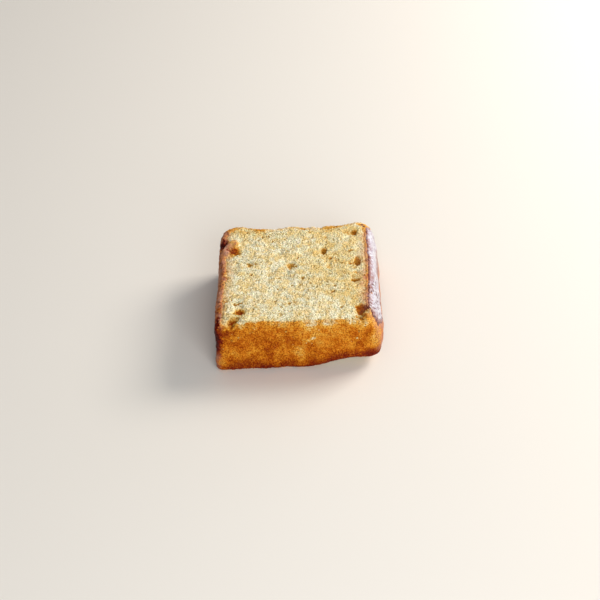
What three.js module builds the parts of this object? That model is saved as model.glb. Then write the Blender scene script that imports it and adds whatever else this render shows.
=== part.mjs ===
// A slice of orange loaf cake, lying on one of its two knife cuts. Millimetres, +Z up.
// The loaf's base lies towards -X: so -X is the base crust, +X the glazed top crust, -Y and +Y are the two
// wall crusts that baked against the tin, and both faces along Z are bare crumb.
// The origin is the middle of the slice's box, on the surface that it rests on.
import * as THREE from "three";
import { ImprovedNoise } from "three/addons/math/ImprovedNoise.js";
import { mergeVertices } from "three/addons/utils/BufferGeometryUtils.js";

const { lerp, seededRandom, smoothstep } = THREE.MathUtils;

// Driving dimensions: the loaf's section and the cut
const LOAF_HEIGHT = 80; // X, base crust to the crown of the top crust
const LOAF_WIDTH = 75; // Y, tin wall to tin wall
const THICKNESS = 28.5; // Z, knife cut to knife cut

// The crusts. A lean is how far the upper cut's rim stands in from the widest place of that crust.
const TOP_CRUST_LEAN = { front: 5.8, back: 4.2 };
const TOP_CRUST_BELLY = 0.38; // height of its widest place, as a share of the thickness
const TOP_CRUST_FULLNESS = 0.8; // below 1 the belly is fuller than a round one
const TOP_CRUST_CROWN = 0.8; // rise of the crown between the tin walls
const BASE_CRUST_LEAN = 1.0;
const WALL_SWELL = 0.5; // how far the tin walls swell at half thickness
const BACK_NARROWING = { base: 2.0, top: 0.2 }; // how far both ends stand in at the back wall
const SKEW = 0.021; // both walls run a little askew, in mm for each mm
const CORNER_RADIUS = { baseFront: 3.6, baseBack: 8.5, topFront: 6, topBack: 5.6 };
const RIM_RADIUS = 1.3; // round of the worn rim at both cuts

// The back wall sank between the corners as the loaf cooled, and a knob of crumb stands in the hollow.
const BACK_HOLLOW = { depth: 2.2, from: -30, fullFrom: -17, fullTo: 19, to: 33 };
const BACK_KNOB = { x: -3, reach: 7, rise: 1.6 };
const BACK_WALL_OUT = 1.2; // how far the back corners stand past the loaf's width

// The lower cut curls off the surface at the front end of the top crust.
const CURL = { rise: 4.6, fromX: 0, toX: 25, fromY: -14, toY: -36 };

// Relief, each as a height and the length of its waves
const CUT_WAVE = { height: 0.7, length: 19 };
const CUT_CRAG = { height: 0.5, length: 4.6 };
const CRUST_WAVE = { height: 0.9, length: 15 };
const CRUST_CRAG = { height: 0.45, length: 4.2 };

// Places on the upper cut: holes in the crumb, the torn corners, and the crust's fold over the rim
const HOLES = [
  { x: 11.4, y: 17.2, reach: 2.6, depth: 2.0 },
  { x: 28.1, y: 7.3, reach: 3.0, depth: 2.3 },
  { x: -4.8, y: 6.3, reach: 3.0, depth: 1.9 },
  { x: 26.6, y: 30, reach: 2.6, depth: 1.8 },
  { x: 26.3, y: -6.2, reach: 3.0, depth: 1.6 },
  { x: -25.2, y: 7.2, reach: 2.7, depth: 1.6 },
  { x: -1, y: -10, reach: 2.7, depth: 1.3 },
  { x: -30.2, y: -20.8, reach: 2.6, depth: 1.4 },
];
const TORN_TOP_CORNER = { x: 28.6, y: -29.6, reachX: 3.4, reachY: 6.4, rise: -3.0 };
const TORN_BASE_CORNER = { x: -35, y: -36, reachX: 13, reachY: 10, rise: -1.6 };
const CRUST_FOLD = { x: -31.9, y: 20.6, reachX: 4.0, reachY: 5.2, rise: 1.7 };

// Pits of the open crumb between the holes, spread by seeded draws
const PITS = { count: 46, seed: 7, reach: [1.9, 2.7], depth: [0.6, 1.3], margin: 9 };

// Facets of the block along X, Y and Z, drawn closer towards its edges
const CELLS = { x: 42, y: 40, z: 12 };
const EDGE_CLOSENESS = 0.25;

const perlin = new ImprovedNoise();

/** Uneven relief at a point: its height times smooth noise with waves of its length. */
function relief({ height, length }, x, y, z) {
  return height * perlin.noise(x / length, y / length, z / length);
}

/** A smooth bell: 1 in the middle, 0 from reachX and reachY outwards. */
function bell(x, y, { x: midX, y: midY, reachX, reachY }) {
  const share = 1 - ((x - midX) / reachX) ** 2 - ((y - midY) / reachY) ** 2;
  return Math.max(share, 0) ** 2;
}

/** Draws t, from -1 to 1, towards both ends, so that rows lie closer along the block's edges. */
function closerAtEdges(t) {
  return t + (EDGE_CLOSENESS * Math.sin(Math.PI * t)) / Math.PI;
}

/** Rounds the plan's corners: each square zone becomes a quarter disc, and out grows to 1 at the crust. */
function roundedPlan(x, y) {
  const end = x < 0 ? "base" : "top";
  const radius = CORNER_RADIUS[end + (y < 0 ? "Front" : "Back")];
  const pastX = Math.max(Math.abs(x) - (LOAF_HEIGHT / 2 - radius), 0);
  const pastY = Math.max(Math.abs(y) - (LOAF_WIDTH / 2 - radius), 0);
  const keep = Math.max(pastX, pastY) / (Math.hypot(pastX, pastY) || 1);
  const out = new THREE.Vector2(Math.sign(x) * pastX * keep, Math.sign(y) * pastY * keep);
  return {
    x: x - Math.sign(x) * pastX + out.x,
    y: y - Math.sign(y) * pastY + out.y,
    out: out.divideScalar(radius),
  };
}

/** How far the rim's round stands in, at a distance from the nearer cut. */
function rimInset(fromCut) {
  const inside = Math.max(RIM_RADIUS - fromCut, 0);
  return RIM_RADIUS - Math.sqrt(RIM_RADIUS ** 2 - inside ** 2);
}

/** Where the top crust stands in from its belly, at shares of the thickness and of the way to the back. */
function topCrustInset(share, toBack) {
  const fromBelly = (share - TOP_CRUST_BELLY) / (1 - TOP_CRUST_BELLY);
  const lean = lerp(TOP_CRUST_LEAN.front, TOP_CRUST_LEAN.back, toBack);
  return lean * (1 - Math.cos((fromBelly * Math.PI) / 2) ** TOP_CRUST_FULLNESS);
}

/** How far the back wall stands out, along the loaf's height. */
function backWall(x) {
  const { depth, from, fullFrom, fullTo, to } = BACK_HOLLOW;
  const hollow = smoothstep(x, from, fullFrom) * (1 - smoothstep(x, fullTo, to));
  const knob = Math.max(1 - ((x - BACK_KNOB.x) / BACK_KNOB.reach) ** 2, 0) ** 2;
  return BACK_WALL_OUT + BACK_KNOB.rise * knob - depth * hollow;
}

/** The slice's plan at a share of its thickness, for a point of the plain block. */
function plan(u, v, share) {
  const rounded = roundedPlan((u * LOAF_HEIGHT) / 2, (v * LOAF_WIDTH) / 2);
  const across = rounded.x / (LOAF_HEIGHT / 2);
  const along = rounded.y / (LOAF_WIDTH / 2);
  const toBack = (along + 1) / 2;
  const rim = rimInset(THICKNESS * Math.min(share, 1 - share));
  const crownFall = TOP_CRUST_CROWN * along ** 2;
  const topInset = topCrustInset(share, toBack) + crownFall + BACK_NARROWING.top * toBack;
  const baseInset = BASE_CRUST_LEAN * share ** 2 + BACK_NARROWING.base * toBack;
  const x = across * (LOAF_HEIGHT / 2 - rim - (across > 0 ? topInset : baseInset));
  const hollowWaist = WALL_SWELL * (2 * share - 1) ** 2;
  const wall = LOAF_WIDTH / 2 - hollowWaist - rim + (along > 0 ? backWall(x) : 0);
  return { x, y: along * wall + SKEW * x, out: rounded.out };
}

/** Pushes a point of the crust out or in by its uneven bake. */
function crustRelief({ x, y, out }, z) {
  const push = relief(CRUST_WAVE, x, y, z) + relief(CRUST_CRAG, x, y, z);
  return { x: x + out.x * push, y: y + out.y * push };
}

/** The pits of the open crumb, at seeded places on the cut. */
function crumbPits() {
  seededRandom(PITS.seed);
  const draw = (low, high) => lerp(low, high, seededRandom());
  const halfX = LOAF_HEIGHT / 2 - PITS.margin;
  const halfY = LOAF_WIDTH / 2 - PITS.margin;
  return Array.from({ length: PITS.count }, () => ({
    x: draw(-halfX, halfX),
    y: draw(-halfY, halfY),
    reach: draw(...PITS.reach),
    depth: draw(...PITS.depth),
  }));
}

const allHoles = [...HOLES, ...crumbPits()];

/** Height of the upper cut: an uneven knife cut with its holes, torn corners and fold of crust. */
function upperCut(x, y) {
  let height = THICKNESS + relief(CUT_WAVE, x, y, 0) + relief(CUT_CRAG, x, y, THICKNESS);
  for (const mark of [TORN_TOP_CORNER, TORN_BASE_CORNER, CRUST_FOLD]) {
    height += mark.rise * bell(x, y, mark);
  }
  const depths = allHoles.map((hole) => {
    const round = { ...hole, reachX: hole.reach, reachY: hole.reach };
    return hole.depth * bell(x, y, round);
  });
  return height - Math.max(...depths);
}

/** Height of the lower cut: flat on the surface, with its curled corner. */
function lowerCut(x, y) {
  return CURL.rise * smoothstep(x, CURL.fromX, CURL.toX) * smoothstep(-y, -CURL.fromY, -CURL.toY);
}

/** A point of the plain block, each way from -1 to 1, moved to its place on the slice. */
function slicePoint(block) {
  const u = closerAtEdges(block.x);
  const v = closerAtEdges(block.y);
  const share = (closerAtEdges(block.z) + 1) / 2;
  const place = crustRelief(plan(u, v, share), share * THICKNESS);
  const z = lerp(lowerCut(place.x, place.y), upperCut(place.x, place.y), share);
  return new THREE.Vector3(place.x, place.y, z);
}

/** The whole slice as one closed body, set down with the origin under the middle of its box. */
function sliceGeometry() {
  const box = new THREE.BoxGeometry(2, 2, 2, CELLS.x, CELLS.y, CELLS.z);
  box.deleteAttribute("normal");
  box.deleteAttribute("uv");
  box.clearGroups();
  const slice = mergeVertices(box);
  const points = slice.getAttribute("position");
  for (let i = 0; i < points.count; i += 1) {
    const { x, y, z } = slicePoint(new THREE.Vector3().fromBufferAttribute(points, i));
    points.setXYZ(i, x, y, z);
  }
  slice.computeBoundingBox();
  const middle = slice.boundingBox.getCenter(new THREE.Vector3());
  slice.translate(-middle.x, -middle.y, -slice.boundingBox.min.z);
  slice.computeVertexNormals();
  return slice;
}

const crumb = new THREE.MeshStandardMaterial({ color: "#ddc58c", roughness: 0.85, metalness: 0 });
const cakeSlice = new THREE.Mesh(sliceGeometry(), crumb);
cakeSlice.name = "cake_slice";

const part = new THREE.Group();
part.add(cakeSlice);

export default part;
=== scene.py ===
"""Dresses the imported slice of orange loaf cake, which lies on one of its two knife cuts.

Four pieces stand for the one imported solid: the crumb, the crust baked round it, the sugar glaze on the
loaf's top and the crumbs that the knife left. Sizes and places are millimetres in the frame's axes: -X is
the loaf's base, +X its glazed top, -Y and +Y are the walls that baked against the tin, +Z is up.
"""

import logging
import math
import random
from dataclasses import dataclass, field
from enum import Enum

import bmesh
import bpy
import numpy as np
from mathutils import Color, Matrix, Vector, noise
from mathutils.bvhtree import BVHTree


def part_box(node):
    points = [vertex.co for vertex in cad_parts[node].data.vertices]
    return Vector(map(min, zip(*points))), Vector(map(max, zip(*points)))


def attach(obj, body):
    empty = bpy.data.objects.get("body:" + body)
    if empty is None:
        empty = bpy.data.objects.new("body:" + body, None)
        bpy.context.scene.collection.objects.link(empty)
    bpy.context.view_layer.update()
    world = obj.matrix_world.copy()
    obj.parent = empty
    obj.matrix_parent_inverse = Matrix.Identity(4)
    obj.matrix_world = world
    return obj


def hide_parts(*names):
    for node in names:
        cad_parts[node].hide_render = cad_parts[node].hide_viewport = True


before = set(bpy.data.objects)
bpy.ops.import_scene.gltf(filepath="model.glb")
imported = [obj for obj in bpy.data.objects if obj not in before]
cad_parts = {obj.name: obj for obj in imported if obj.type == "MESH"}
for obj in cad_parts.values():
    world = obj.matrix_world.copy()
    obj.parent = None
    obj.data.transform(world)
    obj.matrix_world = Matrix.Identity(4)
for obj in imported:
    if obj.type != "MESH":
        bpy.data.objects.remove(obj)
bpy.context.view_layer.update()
log = logging.getLogger("cake_slice")

MM = 0.001
HALF = 0.5
FULL_BYTE = 255.0
WHITE = "#ffffff"
UP = Vector((0.0, 0.0, 1.0))

# Where the middle of a mark on the upper cut or on the front wall lies, and how far it goes into the slice
CUT_HEIGHT = 28.0
CUT_REACH = 8.0
FRONT_PLACE = -37.5
FRONT_REACH = 6.0


class Layer(Enum):
    """Point attributes that the finishes read."""

    BROWNING = "browning"  # 0 is raw crumb, 1 is scorched crust; some marks paint shade and highlights into it
    PORE = "pore"  # 0 on the surface, 1 on a deep pore's floor, which is darkened as painted shade
    BLOOM = "bloom"  # share of dry pinkish bloom on the crust, with painted highlight on the fold's ridge
    THIN = "thin"  # 0 where the glaze is thick, 1 where it has run off


class Cut(Enum):
    """The two knife cuts, by the way that they face."""

    UPPER = 1.0
    LOWER = -1.0


class Side(Enum):
    """The four sides that have a crust."""

    BASE = "base"
    TOP = "top"
    FRONT = "front"
    BACK = "back"


def smooth(value: float, start: float, end: float) -> float:
    """Smooth step from 0 at start to 1 at end, whichever is larger.

    Args:
        value: Where to read the step.
        start: Value at which the step is still 0.
        end: Value from which the step is 1.

    Returns:
        A share from 0 to 1.
    """
    share = min(max((value - start) / (end - start), 0.0), 1.0)
    return share * share * (3.0 - 2.0 * share)


def mix(low: float, high: float, share: float) -> float:
    """Value that lies a share of the way from low to high."""
    return low + (high - low) * share


def heading(angle: float) -> Vector:
    """Level direction at an angle from +X, in radians."""
    return Vector((math.cos(angle), math.sin(angle), 0.0))


def angle_of(point: Vector) -> float:
    """Angle at which a point lies in plan, from +X."""
    return math.atan2(point.y, point.x)


@dataclass(frozen=True)
class Relief:
    """Uneven relief of one height and wave length."""

    height: float
    length: float
    seed: float = 0.0

    def at(self, point: Vector) -> float:
        """Height of the relief at a point, up or down."""
        return self.height * noise.noise(point / self.length + UP * self.seed)


@dataclass(frozen=True)
class Bubbles:
    """Gas bubbles of one size in the batter, cut open where they meet a surface."""

    spacing: float
    share: float  # of the places that hold a bubble
    radius: tuple[float, float]
    floor: float  # deepest that an open bubble goes
    seed: float = 0.0

    def depth(self, point: Vector, normal: Vector) -> float:
        """How far the nearest open bubble lies below a surface.

        Args:
            point: Place on the surface.
            normal: The surface's direction there.

        Returns:
            Depth in millimetres, 0 outside every bubble.
        """
        shift = UP * self.seed
        place = noise.voronoi(point / self.spacing + shift)[1][0]
        draw = (noise.cell(place) + 1.0) / 2.0
        if draw > self.share:
            return 0.0
        radius = mix(*self.radius, draw / self.share)
        offset = point - (place - shift) * self.spacing
        if offset.length_squared > radius * radius:
            return 0.0
        above = offset.dot(normal)
        half_chord = math.sqrt(radius * radius - offset.length_squared + above * above)
        return min(above + half_chord, self.floor)


@dataclass(frozen=True)
class Mark:
    """A place that stands out: a hole, a stain or a pale patch."""

    place: tuple[float, float, float]
    reach: tuple[float, float, float]
    browning: float = 0.0
    depth: float = 0.0  # below 0 it is a lump
    edge: float = 1.0  # below 1 the outline is sharper
    # Bloom that it adds; on the fold's ridge, a painted pinkish highlight
    bloom: float = 0.0

    def share(self, point: Vector) -> float:
        """Weight of the mark at a point.

        Args:
            point: The place.

        Returns:
            A share from 1 in the mark's middle to 0 past its reach.
        """
        across = (point.x - self.place[0]) / self.reach[0]
        along = (point.y - self.place[1]) / self.reach[1]
        if across * across + along * along >= 1.0:
            return 0.0
        upward = (point.z - self.place[2]) / self.reach[2]
        return max(1.0 - across * across - along * along - upward * upward, 0.0)


def on_cut(
    x: float,
    y: float,
    reach_x: float,
    reach_y: float,
    browning: float,
    depth: float = 0.0,
    edge: float = 1.0,
    bloom: float = 0.0,
) -> Mark:
    """A mark on the upper cut, which reaches a little way down.

    Args:
        x: Its place along X.
        y: Its place along Y.
        reach_x: Its reach along X.
        reach_y: Its reach along Y.
        browning: How much more browned it is.
        depth: How deep it is, less than 0 for a lump.
        edge: How sharp its outline is.
        bloom: How much bloom lies on it.

    Returns:
        The mark.
    """
    return Mark((x, y, CUT_HEIGHT), (reach_x, reach_y, CUT_REACH), browning, depth, edge, bloom)


def on_front(
    x: float,
    z: float,
    reach_x: float,
    reach_z: float,
    browning: float,
    depth: float = 0.0,
    edge: float = 1.0,
) -> Mark:
    """A mark on the front wall.

    Args:
        x: Its place along X.
        z: Its height.
        reach_x: Its reach along X.
        reach_z: Its reach along Z.
        browning: How much more browned it is.
        depth: How deep it is, less than 0 for a lump.
        edge: How sharp its outline is.

    Returns:
        The mark.
    """
    return Mark((x, FRONT_PLACE, z), (reach_x, FRONT_REACH, reach_z), browning, depth, edge)


@dataclass
class PackedSolid:
    """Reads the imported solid's surface, so that every piece lies where the solid is."""

    node: str = "cake_slice"
    steps: int = 1080  # directions in which the rims are read
    rim_stride: float = 0.1  # height between two readings of the wall
    rim_turn: float = 0.25  # a wall that runs in further than this from one to the next has reached the cut
    rim_blur: int = 9  # directions over which a rim is evened out
    clear: float = 20.0  # how far outside the solid a reading starts
    corner_blend: float = 0.1  # width of the change from side to side, as a share of the half size

    def __post_init__(self) -> None:
        """Reads the solid's wall and both rims all round."""
        shape = bmesh.new()
        shape.from_mesh(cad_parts[self.node].data)
        bmesh.ops.scale(shape, vec=Vector((1.0, 1.0, 1.0)) / MM, verts=shape.verts)
        self.tree = BVHTree.FromBMesh(shape)
        shape.free()
        self.low, self.high = (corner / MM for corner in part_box(self.node))
        self.middle = (self.low.z + self.high.z) / 2.0
        self.angles = [math.tau * step / self.steps - math.pi for step in range(self.steps)]
        hits = [self.tree.ray_cast(UP * self.middle, heading(angle))[0] for angle in self.angles]
        self.rims = {cut: self._find_rim(cut) for cut in Cut}
        outline = np.array([hit.to_2d() for hit in hits + hits[:1]])
        runs = np.linalg.norm(np.diff(outline, axis=0), axis=1)
        self.travelled = np.concatenate([[0.0], np.cumsum(runs)])

    def cut_height(self, cut: Cut, place: Vector) -> float:
        """Reads a cut at a place in plan.

        Args:
            cut: Which of the two cuts.
            place: Where to read it.

        Returns:
            Height of the cut, or the middle height outside the plan.
        """
        start = self.high.z + self.clear if cut is Cut.UPPER else self.low.z - self.clear
        hit = self.tree.ray_cast(Vector((place.x, place.y, start)), -UP * cut.value)[0]
        return self.middle if hit is None else hit.z

    def wall_reach(self, angle: float, height: float) -> float:
        """Reads from outside how far the wall lies from the middle.

        Args:
            angle: Direction from the middle.
            height: Height of the reading.

        Returns:
            The distance, or 0 past the cuts.
        """
        way = heading(angle)
        start = way * (self.high.length + self.clear) + UP * height
        hit = self.tree.ray_cast(start, -way)[0]
        return 0.0 if hit is None else (hit - UP * hit.z).dot(way)

    def _find_rim(self, cut: Cut) -> tuple[list[float], list[float]]:
        """Follows the wall from its middle to a cut, in each direction.

        Args:
            cut: Which of the two cuts.

        Returns:
            The rim's distance from the middle and its height, one of each for every direction.
        """
        reaches = []
        heights = []
        for angle in self.angles:
            height = self.middle
            reach = self.wall_reach(angle, height)
            further = reach
            while reach - further < self.rim_turn:
                reach = further
                height += self.rim_stride * cut.value
                further = self.wall_reach(angle, height)
            reaches.append(reach)
            heights.append(height - self.rim_stride * cut.value)
        return self._evened(reaches), self._evened(heights)

    def _evened(self, values: list[float]) -> list[float]:
        """Takes the running mean of values that go all round.

        Args:
            values: One value for every direction.

        Returns:
            The values, evened out.
        """
        half = self.rim_blur // 2
        ring = np.concatenate([values[-half:], values, values[:half]])
        return np.convolve(ring, np.full(self.rim_blur, 1.0 / self.rim_blur), mode="valid").tolist()

    def _read(self, table: list[float], angle: float) -> float:
        """Reads a table that goes all round.

        Args:
            table: One value for every direction.
            angle: Where to read it.

        Returns:
            The value at that angle.
        """
        place = (angle / math.tau + HALF) * self.steps
        step = math.floor(place)
        return mix(table[step % self.steps], table[(step + 1) % self.steps], place - step)

    def rim(self, cut: Cut, angle: float) -> tuple[float, float]:
        """Distance of a cut's rim from the middle, and its height, at an angle."""
        reaches, heights = self.rims[cut]
        return self._read(reaches, angle), self._read(heights, angle)

    def inward(self, point: Vector) -> float:
        """How far in from the upper rim a point lies in plan."""
        reach, _ = self.rim(Cut.UPPER, angle_of(point))
        return reach - point.to_2d().length

    def angle_at(self, share: float) -> float:
        """Angle that lies a share of the way round the wall, measured along it."""
        return float(np.interp(share * self.travelled[-1], self.travelled, [*self.angles, math.pi]))

    def wall_point(self, angle: float, share: float) -> Vector:
        """Point of the wall between its two rims.

        Args:
            angle: Direction from the middle.
            share: 0 at the lower rim, 1 at the upper rim.

        Returns:
            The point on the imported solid.
        """
        lower, upper = (self.rim(cut, angle) for cut in (Cut.LOWER, Cut.UPPER))
        height = mix(lower[1], upper[1], share)
        nearest = lower[0] if share < HALF else upper[0]
        return heading(angle) * max(self.wall_reach(angle, height), nearest) + UP * height

    def sides(self, point: Vector) -> dict[Side, float]:
        """How much a point belongs to each side.

        Args:
            point: The place.

        Returns:
            A share for each side. They add up to 1.
        """
        across = point.x / self.high.x
        along = point.y / self.high.y
        ends = smooth(abs(across) - abs(along), -self.corner_blend, self.corner_blend)
        return {
            Side.BASE: ends if across < 0.0 else 0.0,
            Side.TOP: 0.0 if across < 0.0 else ends,
            Side.FRONT: 1.0 - ends if along < 0.0 else 0.0,
            Side.BACK: 0.0 if along < 0.0 else 1.0 - ends,
        }


@dataclass
class Bake:
    """How far each place of the slice has browned, its holes and stains, and painted shade and highlights.
    """

    solid: PackedSolid
    crust: dict[Side, float] = field(
        default_factory=lambda: {Side.BASE: 0.6, Side.TOP: 0.37, Side.FRONT: 0.47, Side.BACK: 0.44}
    )
    # Browned edge of a cut, as bands over each other: how browned, and how far in from the rim
    edge: dict[Side, tuple[tuple[float, float], ...]] = field(
        default_factory=lambda: {
            Side.BASE: ((0.34, 1.7), (0.19, 4.6)),
            Side.TOP: ((0.06, 1.2), (0.12, 3.4)),
            Side.FRONT: ((0.16, 1.6), (0.13, 4.6)),
            Side.BACK: ((0.04, 1.2), (0.1, 4.0)),
        }
    )
    edge_full: float = 0.12  # share of that way over which it is fully browned
    bloom: dict[Side, float] = field(
        default_factory=lambda: {Side.BASE: 0.55, Side.TOP: 0.65, Side.FRONT: 0.0, Side.BACK: 0.0}
    )
    bloom_reach: float = 7.5  # how far the bloom goes onto a cut
    scorched: tuple[float, float] = (0.76, 0.58)  # browning between which the bloom comes off
    # The foot of a wall is darker: partly browner crust, partly painted shade where it meets the floor
    foot_height: float = 9.0  # height over which the foot of a wall is darker
    foot_browning_and_shade: float = 0.32
    shoulder: tuple[float, float] = (16.0, 26.0)  # heights between which the walls turn paler
    shoulder_paler: float = 0.04
    patchy: Relief = Relief(0.65, 1.1, 27.0)  # how unevenly a mark has browned
    # How far outlines stray, and over what length, once wide and once fine
    wander: tuple[tuple[float, float], ...] = ((1.0, 2.4), (0.75, 0.9))
    wander_seed: int = 6
    # Holes of the upper cut, each with the stain on its floor; painted pore shade darkens it further
    holes: tuple[Mark, ...] = (
        on_cut(12.5, 15.9, 1.8, 2.8, 0.0, 1.8, 0.7),
        on_cut(28.5, 7.7, 1.8, 3.6, 0.0, 2.0, 0.7),
        on_cut(-3.5, 6.2, 2.4, 2.4, 0.0, 1.4, 0.8),
        on_cut(27.7, 29.6, 2.2, 2.1, 0.04, 1.4, 0.7),
        on_cut(27.2, -6.3, 3.0, 1.9, 0.04, 1.1, 0.8),
        on_cut(27.7, -0.6, 1.5, 1.4, 0.0, 1.0, 0.7),
        on_cut(-23.7, 6.9, 1.8, 2.4, 0.04, 1.2, 0.8),
        on_cut(31.4, 35.0, 1.6, 1.4, 0.4, 0.5, 0.7),
        on_cut(0.6, -8.3, 1.6, 1.3, 0.04, 0.9, 0.7),
        on_cut(15.0, 5.6, 1.5, 2.9, 0.04, 0.8, 0.7),
    )
    # The torn corner at the front end of the loaf's top, with crumbs left in it. Its dark back, by the
    # glaze, is painted shadow of the glaze's edge
    torn_corner: tuple[Mark, ...] = (
        on_cut(28.8, -26.6, 2.7, 3.6, 0.24, 1.6, 0.4),
        on_cut(28.0, -32.4, 2.3, 2.8, 0.2, 1.2, 0.4),
        # Painted shadow of the glaze's edge
        on_cut(31.6, -26.8, 1.5, 3.0, 0.5, 0.6, 0.6),
        on_cut(30.4, -31.0, 1.8, 1.6, 0.3, -0.5, 0.5),
        on_cut(30.5, -33.5, 4.0, 3.6, 0.1),
    )
    # Broken crumb at the front end of the loaf's base: gaps, and lumps between them
    broken_corner: tuple[Mark, ...] = (
        on_cut(-34.6, -20.3, 1.9, 1.9, 0.28, 0.9, 0.7),
        on_cut(-29.5, -21.6, 2.6, 1.2, 0.18, 1.2, 0.6),
        on_cut(-28.0, -27.9, 3.4, 2.8, 0.34, 1.1, 0.7),
        on_cut(-31.5, -33.8, 3.4, 2.6, 0.36, 1.1, 0.7),
        on_cut(-32.1, -36.8, 2.0, 1.2, 0.24, 0.8, 0.7),
        on_cut(-33.0, -24.0, 2.6, 2.4, 0.0, -1.0, 0.5),
        on_cut(-33.6, -30.2, 2.2, 2.2, 0.0, -1.1, 0.5),
        on_cut(-25.5, -32.2, 2.8, 2.2, 0.0, -0.9, 0.5),
        on_cut(-28.4, -36.0, 2.4, 1.5, -0.1, -0.9, 0.6),
        on_cut(-24.2, -24.4, 2.4, 2.0, 0.0, -0.8, 0.6),
        on_cut(-27.0, -32.0, 8.0, 6.0, 0.1),
    )
    # Crust folded over the rim at the loaf's base: a row of marks for its ridge, and scorched places.
    # The ridge's bloom is a painted pinkish highlight
    ridge_ends: tuple[tuple[float, float], ...] = ((-35.0, 16.4), (-30.4, 22.6))
    ridge_steps: int = 7
    ridge_mark: tuple[float, ...] = (1.9, 1.9, 0.09, -1.7, 0.5, 0.34)  # what on_cut takes after the place
    fold: tuple[Mark, ...] = (
        on_cut(-31.8, 18.2, 5.6, 5.6, 0.26),
        on_cut(-31.2, 16.6, 3.6, 3.4, 0.28, 0.9, 0.6),
        on_cut(-35.9, 22.6, 3.0, 4.8, 0.8, 0.5, 0.8),
    )
    # Tints, dents and low lumps of the upper cut
    tints: tuple[Mark, ...] = (
        # Back rim and the lumps on it
        on_cut(0.0, 35.0, 40.0, 10.0, 0.09),
        on_cut(-25.0, 35.0, 13.0, 6.0, 0.14, -0.8, 0.6),
        on_cut(25.0, 36.0, 15.0, 5.0, 0.0, -0.8, 0.6),
        on_cut(-9.0, 36.4, 2.6, 2.2, 0.0, -0.7, 0.6),
        on_cut(6.5, 36.4, 2.2, 2.2, 0.0, -0.7, 0.6),
        on_cut(14.0, 36.6, 2.8, 2.4, 0.06, -1.0, 0.6),
        on_cut(14.5, 33.0, 7.0, 3.4, 0.12),
        on_cut(27.0, 32.5, 7.0, 4.6, 0.08),
        # Front rim
        on_cut(-17.0, -36.4, 3.6, 2.2, 0.14),
        on_cut(-2.5, -36.6, 4.0, 2.0, 0.06),
        on_cut(18.5, -36.0, 4.6, 2.8, 0.06),
        on_cut(27.0, -36.0, 9.0, 3.2, 0.06),
        # Rim beside the glaze
        on_cut(33.3, 31.5, 1.6, 7.0, 0.2),
        on_cut(31.6, 7.0, 2.8, 1.7, 0.14, 0.3),
        on_cut(32.4, -5.6, 2.2, 1.7, 0.34),
        on_cut(34.0, 0.0, 3.4, 36.0, 0.06),
        # Warmer areas towards the loaf's top
        on_cut(18.0, 8.0, 22.0, 28.0, 0.08),
        on_cut(28.0, -15.0, 10.0, 15.0, 0.1),
        # Warmer spots towards the loaf's base
        on_cut(-11.6, 19.6, 1.9, 2.3, 0.12, 0.3),
        on_cut(-22.5, -2.0, 6.0, 3.0, 0.08),
        on_cut(-24.7, -9.5, 2.2, 1.8, 0.16, 0.4),
    )
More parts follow.
